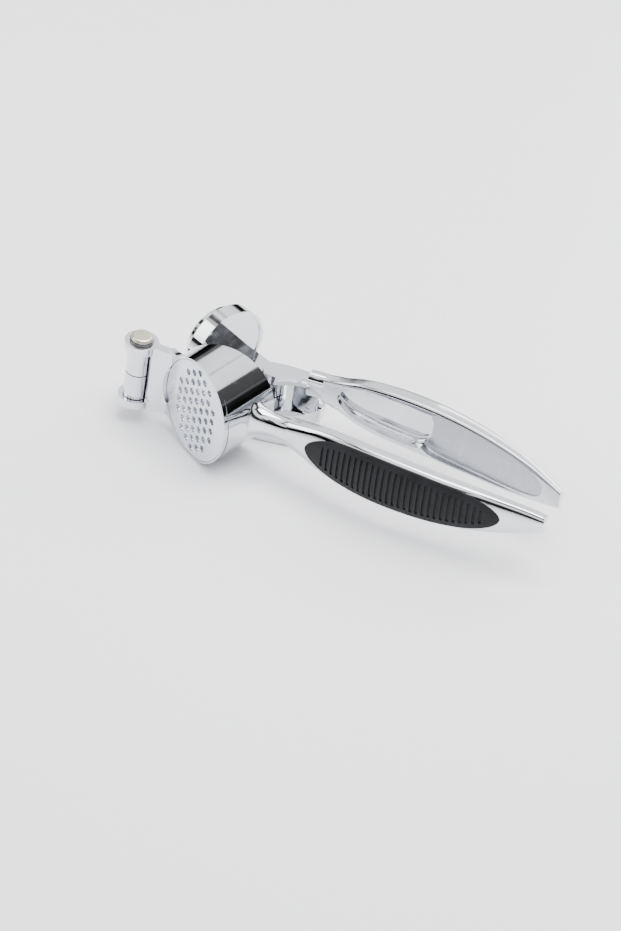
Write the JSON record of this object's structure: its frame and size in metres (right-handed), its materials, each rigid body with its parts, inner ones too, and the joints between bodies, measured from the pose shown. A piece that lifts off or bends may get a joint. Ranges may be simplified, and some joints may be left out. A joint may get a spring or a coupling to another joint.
{
  "type": "garlic press",
  "caption": "hinged two-handled garlic press with a perforated hopper, a swinging plunger and ribbed rubber inlays",
  "frame": {"origin": "middle of the bounding box's bottom, under the hopper drum, with the press lying on its side", "axes": "+X runs from the hinge to the handle tips, +Y from the hopper side to the lever side, +Z along the hinge pin"},
  "size_m": [0.1674, 0.0674, 0.039],
  "materials": {
    "chrome": "bright chrome plate on die casting",
    "satin_metal": "pale satin plate",
    "rubber": "matt black soft-touch rubber",
    "tarnished_metal": "tarnished nickel over brass",
    "dark_steel": "dark steel"
  },
  "bodies": {
    "hopper_side": {"hopper_handle": "chrome", "sieve_plate": "satin_metal", "front_grip": "rubber", "hinge_pin": "tarnished_metal", "hinge_washer": "dark_steel", "hinge_bush": "chrome"},
    "lever": {"lever_handle": "chrome", "rear_grip": "rubber", "plunger_pin": "satin_metal"},
    "plunger": {"press_plunger": "chrome"}
  },
  "joints": [
    {"name": "lever_hinge", "type": "hinge", "parent": "hopper_side", "child": "lever", "pos_m": [-0.07715, -0.01285, 0.0195], "axis": [0, 0, 1], "range_deg": [-3.7, 75]},
    {"name": "plunger_hinge", "type": "hinge", "parent": "lever", "child": "plunger", "pos_m": [-0.03515, 0.01215, 0.0195], "axis": [0, 0, 1], "range_deg": [-15, 80]}
  ]
}
